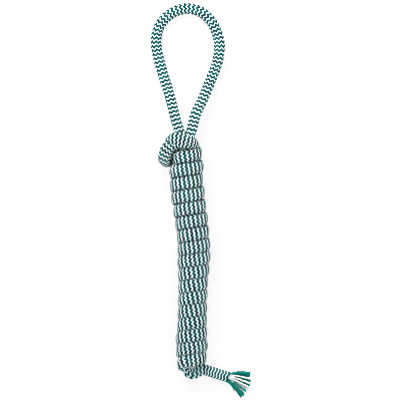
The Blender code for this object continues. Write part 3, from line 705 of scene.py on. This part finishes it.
# Filler: the white yarn core of the rope, which shows where the braid ends and the yarns spread. It is a
# bundle of loose strands, twisted a little by the making and splayed at its end.
FILLER_STRANDS = 30
FILLER_STRAND = 0.0012
FILLER_TWIST = 0.9
SHEATH_BORE = 0.0080
TASSEL_ROOT_LENGTH = 0.0070
TASSEL_ROOT_WIDTH = 0.0128
TASSEL_ROOT_THICKNESS = 0.0088
FILLER_WHITE = "FFFFFF"
FILLER_DEEP = "D8E2E3"
STRAND_SIDES = 6
STRAND_STATIONS = 20
GOLDEN_ANGLE = math.pi * (3 - math.sqrt(5))
TIP_TAPER = 0.35
STRAND_MAP_MARGIN = 0.1
MILLIMETRES = 1000
LOOSE_FIBRE_STRETCH = (5.0, 0.12, 1.0)
LOOSE_FIBRE_SCALE = 3.0
LOOSE_FIBRE_HEIGHT = 0.0002
LOOSE_TONE_RANGE = (0.2, 1.3)


def loose_yarn_material(name, colour, deep):
    """Loose polyester yarn, unravelled: soft and matt, and every strand has its own tone and fine fibres.

    The map called strand gives the strand's number and the millimetres along it. The fibres are too fine to
    show, so they are drawn about 0.2 mm wide and 3 mm long.
    """
    material, tree = new_material(name)
    place = add_node(tree, "ShaderNodeUVMap", uv_map="strand").outputs["UV"]
    parts = add_node(tree, "ShaderNodeSeparateXYZ", {0: place})
    number = add_node(tree, "ShaderNodeMath", {0: parts.outputs["X"]}, operation="FLOOR")
    tone = add_node(tree, "ShaderNodeTexWhiteNoise", {"W": number.outputs[0]}, noise_dimensions="1D")
    stretch = add_node(
        tree, "ShaderNodeVectorMath", {0: place, 1: LOOSE_FIBRE_STRETCH}, operation="MULTIPLY"
    )
    fibres = add_node(
        tree, "ShaderNodeTexNoise", {"Vector": stretch.outputs[0], "Scale": LOOSE_FIBRE_SCALE, "Detail": 3.0}
    ).outputs["Fac"]
    mix = add_node(tree, "ShaderNodeMath", {0: tone.outputs["Value"], 1: fibres}, operation="ADD")
    lit = add_node(
        tree, "ShaderNodeMapRange", {0: mix.outputs[0], 1: LOOSE_TONE_RANGE[0], 2: LOOSE_TONE_RANGE[1]}
    )
    toned = add_node(
        tree, "ShaderNodeMix", {0: lit.outputs[0], 6: linear(deep), 7: linear(colour)}, data_type="RGBA"
    )
    relief = add_node(
        tree, "ShaderNodeBump", {"Strength": 0.4, "Distance": LOOSE_FIBRE_HEIGHT, "Height": fibres}
    )
    shader = add_node(tree, "ShaderNodeBsdfPrincipled", {
        "Base Color": toned.outputs[2], "Roughness": 0.7, "Specular IOR Level": 0.2,
        "Normal": relief.outputs[0],
    })
    add_node(tree, "ShaderNodeOutputMaterial", {"Surface": shader.outputs[0]})
    return material


def strand_spots(count):
    """A bundle's strands, spread evenly over a unit disc: each a golden angle on from the last, as far out as
    the square root of its share of them."""
    number = np.arange(count) + 0.5
    reach, angle = np.sqrt(number / count), number * GOLDEN_ANGLE
    return np.stack([reach * np.cos(angle), reach * np.sin(angle)], axis=1)


def strands(name, lines, radius, material):
    """Round strands along lines, an array of strands by stations by XYZ: a ring of points at each station,
    whose radius falls by the fourth power of the way to the tip."""
    count, stations = lines.shape[:2]
    heading = unit(np.gradient(lines, axis=1))
    across = unit(np.cross(heading, Z_AXIS))
    outward = np.cross(heading, across)
    angle = 2 * math.pi * np.arange(STRAND_SIDES) / STRAND_SIDES
    share = np.linspace(0, 1, stations)
    thick = radius * (1 - TIP_TAPER * share**4)[None, :, None, None]
    ring = np.cos(angle)[:, None] * across[:, :, None] + np.sin(angle)[:, None] * outward[:, :, None]
    points = lines[:, :, None] + thick * ring
    points[..., 2] = np.maximum(points[..., 2], 0.0)
    corner = np.arange(points[..., 0].size).reshape(count, stations, STRAND_SIDES)
    following = np.roll(corner, -1, axis=2)
    quads = np.stack([corner[:, :-1], following[:, :-1], following[:, 1:], corner[:, 1:]], axis=-1)
    quads = quads.reshape(-1, 4)
    ends = corner[:, 0, ::-1].tolist() + corner[:, -1].tolist()
    mesh = bpy.data.meshes.new(name)
    mesh.from_pydata(points.reshape(-1, 3).tolist(), [], quads.tolist() + ends)
    lengths = np.linalg.norm(np.diff(lines, axis=1), axis=2).sum(axis=1)
    run = MILLIMETRES * share * lengths[:, None]
    round_strand = STRAND_MAP_MARGIN + (1 - 2 * STRAND_MAP_MARGIN) * np.arange(STRAND_SIDES) / STRAND_SIDES
    number = np.arange(count)[:, None, None] + round_strand
    place = np.stack(np.broadcast_arrays(number, run[..., None]), axis=-1).reshape(-1, 2)
    corners = np.concatenate([quads.ravel(), np.array(ends).ravel()])
    mesh.uv_layers.new(name="strand").data.foreach_set("uv", place[corners].astype(np.float32).ravel())
    mesh.materials.append(material)
    mesh.shade_smooth()
    return placed(name, mesh)


strand_shares = np.linspace(0, 1, STRAND_STATIONS)
sheath_start = neck_end + TOUCH_GAP * along
root_end = sheath_end + (TOUCH_GAP + TASSEL_ROOT_LENGTH) * along
spots = strand_spots(FILLER_STRANDS)
turn = FILLER_TWIST * strand_shares * 2 * math.pi
run = strand_shares * np.linalg.norm(root_end - sheath_start)
past = np.clip((run - SHEATH_LENGTH) / (TOUCH_GAP + TASSEL_ROOT_LENGTH), 0, 1)
wide = (SHEATH_BORE + (TASSEL_ROOT_WIDTH - SHEATH_BORE) * past - FILLER_STRAND) / 2
thick = (SHEATH_BORE + (TASSEL_ROOT_THICKNESS - SHEATH_BORE) * past - FILLER_STRAND) / 2
spot_across = spots[:, :1] * np.cos(turn) - spots[:, 1:] * np.sin(turn)
spot_up = spots[:, :1] * np.sin(turn) + spots[:, 1:] * np.cos(turn)
lines = (
    sheath_start + run[None, :, None] * along + (spot_across * wide)[..., None] * aside
    + (spot_up * thick)[..., None] * np.array(Z_AXIS)
)
filler_yarn = loose_yarn_material("filler_polyester_yarn", FILLER_WHITE, FILLER_DEEP)
filler = strands("filler_core", lines, FILLER_STRAND / 2, filler_yarn)
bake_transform(filler)
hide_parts("tail_filler", "tassel_root")


# Tassel: the braid's own yarns, let loose past its end and cut to a rough fan. Each bundle is a yarn's soft
# strands, which keep the crimp of the braid, spread towards their cut and differ a little in length.
FAN_LENGTH = 0.0262
FAN_HALF_WIDTH = 0.0140
FAN_CENTRE_SHARE = -0.18
YARN_COLOURS = "teal teal white teal white teal white white teal white teal teal".split()
YARN_LENGTH_SHARES = (0.86, 0.86, 0.94, 0.97, 1.0, 1.0, 1.0, 0.96, 0.92, 0.89, 0.88, 0.80)
YARN_LAYERS = 2
YARN_LAYER_STEP = 0.0038
YARN_THICKNESS = 0.0030
YARN_ROOT_SHARE = 0.48
YARN_INSIDE = 0.0030
FLOOR_CLEARANCE = 0.0004
STUB_LENGTH_SHARE = 0.42
STUB_SIDE_SHARE = -0.90
STUB_ROOT_SHARE = -0.57
BUNDLE_STRANDS = 20
BUNDLE_STRAND = 0.00070
BUNDLE_WIDTH_SHARE = 0.68
FULLNESS_SHARES = (1.0, 1.1, 0.75, 1.0, 0.75, 0.9, 0.8, 0.8, 0.6, 0.8, 1.2, 1.3)
STUB_FULLNESS_SHARE = 0.6
TOP_ARCH = 0.0034
CRIMP_HEIGHT = 0.00022
CRIMP_LENGTH = 0.0062
RAGGED_END = 0.0014
RAGGED_EXCESS = 0.3
MOUTH_WIDTH_SHARE = 0.62
MOUTH_HEIGHT_SHARE = 0.55
MOUTH_BUNDLE_SHARES = (0.30, 0.34)
MOUTH_FLATNESS = 0.8
LOOSE_YARN_COLOURS = {
    "teal": ("00A294", "02504F"),
    "white": ("FFFFFF", "DCE7E8"),
}
RANDOM_SEED = 7
random = np.random.default_rng(RANDOM_SEED)


def bundle_lines(length_share, side, root_side, layer, fullness):
    """A bundle's strands: from the braid's mouth through the root to the cut end. Across, a strand goes from
    its place in the mouth to the bundle's place in the fan; the bundle swells as it goes, and crimps are sine
    waves."""
    start = -YARN_INSIDE
    root = TOUCH_GAP + TASSEL_ROOT_LENGTH
    cut = TOUCH_GAP + length_share * FAN_LENGTH
    room = fullness * BUNDLE_WIDTH_SHARE * 2 * FAN_HALF_WIDTH / len(YARN_COLOURS)
    count = round(fullness * BUNDLE_STRANDS)
    spots = strand_spots(count)
    ragged = random.uniform(-RAGGED_END, RAGGED_EXCESS * RAGGED_END, (count, 1))
    run = start + strand_shares[None, :] * (cut + ragged - start)
    root_across = root_side * FAN_HALF_WIDTH
    mouth_across = MOUTH_WIDTH_SHARE * root_across
    places = (start, 0.0, root, cut)
    middle = np.interp(run, places, (mouth_across, mouth_across, root_across, side * FAN_HALF_WIDTH))
    swell = np.interp(run, places, (*MOUTH_BUNDLE_SHARES, YARN_ROOT_SHARE, 1.0))
    low = YARN_THICKNESS / 2 + FLOOR_CLEARANCE + layer * YARN_LAYER_STEP
    mouth_z = ROPE_REST_Z + (layer - 0.5) * SHEATH_BORE * MOUTH_HEIGHT_SHARE
    height = np.interp(run, places, (mouth_z, mouth_z, low, low))
    phase = random.uniform(0, 2 * math.pi, (2, count, 1))
    crimp = CRIMP_HEIGHT * np.sin(2 * math.pi * run / CRIMP_LENGTH + phase)
    arch = TOP_ARCH * max(side, 0) ** 3 * np.sin(math.pi * np.clip(run / cut, 0, 1))
    middle = middle + arch + spots[:, :1] * swell * room + crimp[0]
    flatness = np.interp(run, places, (MOUTH_FLATNESS, MOUTH_FLATNESS, 1.0, 1.0))
    height = height + spots[:, 1:] * YARN_THICKNESS / 2 * flatness + crimp[1]
    lines = sheath_end + run[..., None] * along + middle[..., None] * aside
    lines[..., 2] = height
    return lines


yarn_materials = {
    colour: loose_yarn_material(f"{colour}_polyester_yarn", *tones)
    for colour, tones in LOOSE_YARN_COLOURS.items()
}
sides = FAN_CENTRE_SHARE + np.linspace(1, -1, len(YARN_COLOURS))
root_sides = YARN_ROOT_SHARE * np.linspace(1, -1, len(YARN_COLOURS))
layers = [1, 0] * (len(YARN_COLOURS) // YARN_LAYERS)
bundles = list(zip(YARN_COLOURS, YARN_LENGTH_SHARES, sides, root_sides, layers, FULLNESS_SHARES))
bundles.append(("teal", STUB_LENGTH_SHARE, STUB_SIDE_SHARE, STUB_ROOT_SHARE, 1, STUB_FULLNESS_SHARE))
made = {"teal": 0, "white": 0}
for colour, *places in bundles:
    made[colour] += 1
    yarn = strands(
        f"loose_{colour}_yarn_{made[colour]}", bundle_lines(*places), BUNDLE_STRAND / 2,
        yarn_materials[colour]
    )
    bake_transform(yarn)
    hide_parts(f"yarn_{colour}_{made[colour]}")


# Studio: a white table under soft daylight from the top left, seen straight from above as the photograph is.
# The table is white to the camera and keeps a faint shadow; the lamps light the rope at a plain level.
VIEW_CENTRE = (0.0063, 0.0598)
VIEW_SPAN = 0.46
VIEW_HEIGHT = 1.0
TABLE_SIZE = 6.0
TABLE_WHITE = "F4F4F4"
TABLE_SHADOW_SHARE = 0.12
ROOM_LIGHT = 0.60
WHITE_LIGHT = (1.0, 1.0, 1.0, 1.0)
SHARP_FILTER = 0.6


def studio_white(name, shadow_share):
    """White paint that gives the camera its white itself, and keeps a share of its light and shadow."""
    material, tree = new_material(name)
    path = add_node(tree, "ShaderNodeLightPath")
    seen = add_node(
        tree, "ShaderNodeMath", {0: path.outputs["Is Camera Ray"], 1: path.outputs["Is Glossy Ray"]},
        operation="ADD"
    )
    seen_or_through = add_node(
        tree, "ShaderNodeMath", {0: seen.outputs[0], 1: path.outputs["Is Transmission Ray"]},
        operation="ADD", use_clamp=True
    )
    share = add_node(
        tree, "ShaderNodeMath", {0: seen_or_through.outputs[0], 1: 1 - shadow_share}, operation="MULTIPLY"
    )
    paint = add_node(tree, "ShaderNodeBsdfDiffuse", {"Color": linear(TABLE_WHITE)})
    glow = add_node(tree, "ShaderNodeEmission", {"Color": WHITE_LIGHT, "Strength": 1.0})
    mixed = add_node(
        tree, "ShaderNodeMixShader", {0: share.outputs[0], 1: paint.outputs[0], 2: glow.outputs[0]}
    )
    add_node(tree, "ShaderNodeOutputMaterial", {"Surface": mixed.outputs[0]})
    return material


half = TABLE_SIZE / 2
table_corners = [(-half, -half, 0), (half, -half, 0), (half, half, 0), (-half, half, 0)]
table_mesh = bpy.data.meshes.new("table")
table_mesh.from_pydata(table_corners, [], [(0, 1, 2, 3)])
table_mesh.materials.append(studio_white("white_table_paint", TABLE_SHADOW_SHARE))
table = placed("table", table_mesh)

world = bpy.data.worlds.new("studio")
world.use_nodes = True
tree = world.node_tree
tree.nodes.clear()
path = add_node(tree, "ShaderNodeLightPath")
room = add_node(tree, "ShaderNodeBackground", {"Color": WHITE_LIGHT, "Strength": ROOM_LIGHT})
seen = add_node(tree, "ShaderNodeBackground", {"Color": WHITE_LIGHT, "Strength": 1.0})
mixed = add_node(
    tree, "ShaderNodeMixShader", {0: path.outputs["Is Camera Ray"], 1: room.outputs[0], 2: seen.outputs[0]}
)
add_node(tree, "ShaderNodeOutputWorld", {"Surface": mixed.outputs[0]})
bpy.context.scene.world = world

# Each lamp: its name, place, size and power. All aim at the middle of the toy.
LAMPS = (
    ("window", (-0.55, 1.25, 1.30), 0.9, 27.0),
    ("fill", (0.90, -0.70, 1.30), 1.2, 6.0),
)
for name, place, size, power in LAMPS:
    lamp = bpy.data.lights.new(name, "AREA")
    lamp.size = size
    lamp.energy = power
    holder = placed(name, lamp)
    aim = Vector((*VIEW_CENTRE, 0.0)) - Vector(place)
    holder.matrix_world = aim.to_track_quat("-Z", "Y").to_matrix().to_4x4()
    holder.location = place

lens = bpy.data.cameras.new("camera")
lens.type = "ORTHO"
lens.ortho_scale = VIEW_SPAN
camera = placed("camera", lens)
camera.location = (*VIEW_CENTRE, VIEW_HEIGHT)
bpy.context.scene.camera = camera
bpy.context.scene.view_settings.view_transform = "Standard"
bpy.context.scene.cycles.filter_width = SHARP_FILTER
